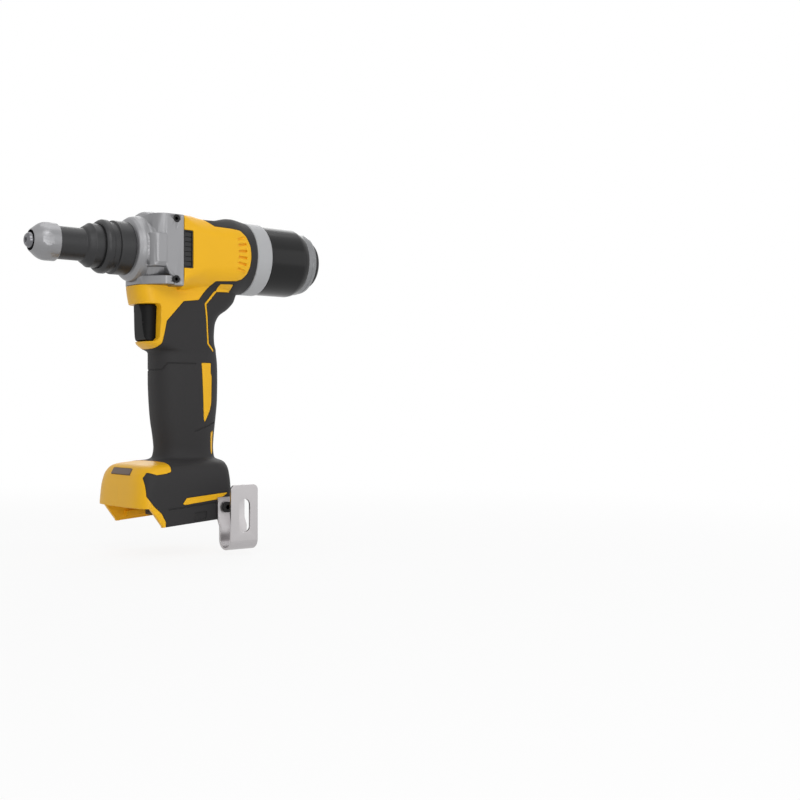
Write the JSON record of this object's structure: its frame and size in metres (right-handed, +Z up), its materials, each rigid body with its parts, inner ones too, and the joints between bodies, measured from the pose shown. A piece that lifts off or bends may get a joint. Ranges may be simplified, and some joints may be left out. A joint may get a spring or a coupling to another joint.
{
  "type": "battery rivet tool",
  "caption": "Cordless pistol-grip rivet puller with a stepped nose, cast gear case, rubber-clad handle, battery foot, belt hook and rear mandrel collector.",
  "frame": {"origin": "centre of the mandrel hole at the mouth of the nose", "axes": "+Z up, +X along the barrel from the nose to the collector, +Y to the right side of the tool, parting plane at y = 0"},
  "size_m": [0.245, 0.099, 0.2605],
  "materials": {
    "dark_steel": "dark satin",
    "nose_steel": "satin",
    "black_metal": "satin black",
    "cast_case": "fine cast",
    "black_screw": "black oxide",
    "yellow_shell": "fine texture",
    "grip_rubber": "fine texture",
    "black_plastic": "fine texture",
    "lens_dark": "smoked",
    "hook_steel": "satin",
    "grey_ring": "satin",
    "cup_black": "polished",
    "cap_grey": "clear grey",
    "steel": "ground",
    "laminate": "stacked sheet",
    "copper": "enamelled wire",
    "contact": "plated",
    "board": "lacquered"
  },
  "bodies": {
    "tool": {"nose_tip": "dark_steel", "nose_cone": "nose_steel", "nose_tube": "black_metal", "nose_collar": "black_metal", "thrust_bearing": "steel", "ring_gear": "steel", "stator_core": "laminate", "stator_windings": "copper", "rotor_bearings": "steel", "motor_bracket": "black_plastic", "mandrel_tube": "steel", "gear_case": "cast_case", "gear_case_screws": "black_screw", "left_housing": "yellow_shell", "right_housing": "yellow_shell", "left_grip": "grip_rubber", "right_grip": "grip_rubber", "housing_screws": "black_screw", "exhaust_grilles": "black_plastic", "trigger_spring": "steel", "trigger_switch": "black_plastic", "control_board": "board", "work_light_lens": "lens_dark", "terminal_block": "black_plastic", "terminal_blades": "contact", "belt_hook": "hook_steel", "hook_screw": "black_screw", "rear_ring": "grey_ring"},
    "nut": {"ball_nut": "steel", "planet_carrier": "steel"},
    "planet_a": {"planet_1": "steel"},
    "planet_b": {"planet_2": "steel"},
    "planet_c": {"planet_3": "steel"},
    "rotor": {"rotor_shaft": "steel", "rotor_core": "laminate", "cooling_fan": "black_plastic"},
    "head": {"jaw_housing": "steel", "pull_screw": "steel", "jaw_spring": "steel"},
    "jaw_a": {"jaw_1": "steel"},
    "jaw_b": {"jaw_2": "steel"},
    "jaw_c": {"jaw_3": "steel"},
    "pusher": {"jaw_pusher": "steel"},
    "trigger": {"trigger": "black_plastic"},
    "collector": {"collector_cup": "cup_black", "collector_cap": "cap_grey", "collector_plug": "black_plastic"}
  },
  "joints": [
    {"name": "nut_spin", "type": "hinge", "parent": "tool", "child": "nut", "pos_m": [0.09, 0, 0], "axis": [1, 0, 0], "range_deg": [0, 2160]},
    {"name": "planet_1_spin", "type": "hinge", "parent": "nut", "child": "planet_a", "pos_m": [0.106, 0, 0.0156], "axis": [1, 0, 0], "range_deg": [-9181, 0]},
    {"name": "planet_2_spin", "type": "hinge", "parent": "nut", "child": "planet_b", "pos_m": [0.106, -0.01351, -0.0078], "axis": [1, 0, 0], "range_deg": [-9181, 0]},
    {"name": "planet_3_spin", "type": "hinge", "parent": "nut", "child": "planet_c", "pos_m": [0.106, 0.01351, -0.0078], "axis": [1, 0, 0], "range_deg": [-9181, 0]},
    {"name": "rotor_spin", "type": "hinge", "parent": "tool", "child": "rotor", "pos_m": [0.14, 0, 0], "axis": [1, 0, 0], "range_deg": [0, 6241]},
    {"name": "head_pull", "type": "slide", "parent": "tool", "child": "head", "axis": [1, 0, 0], "range_m": [0, 0.02401]},
    {"name": "jaw_1_grip", "type": "slide", "parent": "head", "child": "jaw_a", "axis": [-0.9744, 0, 0.225], "range_m": [0, 0.0015]},
    {"name": "jaw_2_grip", "type": "slide", "parent": "head", "child": "jaw_b", "axis": [-0.9744, -0.1948, -0.1125], "range_m": [0, 0.00151]},
    {"name": "jaw_3_grip", "type": "slide", "parent": "head", "child": "jaw_c", "axis": [-0.9744, 0.1948, -0.1125], "range_m": [0, 0.00151]},
    {"name": "pusher_slide", "type": "slide", "parent": "head", "child": "pusher", "axis": [-1, 0, 0], "range_m": [0, 0.00148], "deforming": ["jaw_spring"]},
    {"name": "trigger_slide", "type": "slide", "parent": "tool", "child": "trigger", "axis": [1, 0, 0], "range_m": [0, 0.006], "stiffness_N_per_m": 400, "springref_m": -0.004, "deforming": ["trigger_spring"]},
    {"name": "collector_twist", "type": "hinge", "parent": "tool", "child": "collector", "pos_m": [0.2, 0, 0], "axis": [1, 0, 0], "range_deg": [0, 40]}
  ],
  "couplings": [
    {"joint": "planet_1_spin", "follows": "nut_spin", "ratio": -4.25},
    {"joint": "planet_2_spin", "follows": "nut_spin", "ratio": -4.25},
    {"joint": "planet_3_spin", "follows": "nut_spin", "ratio": -4.25},
    {"joint": "rotor_spin", "follows": "nut_spin", "ratio": 2.8889},
    {"joint": "head_pull", "follows": "nut_spin", "m_per_rad": 0.00063662},
    {"joint": "jaw_2_grip", "follows": "jaw_1_grip", "ratio": 1},
    {"joint": "jaw_3_grip", "follows": "jaw_1_grip", "ratio": 1},
    {"joint": "pusher_slide", "follows": "jaw_1_grip", "ratio": 0.97437}
  ]
}
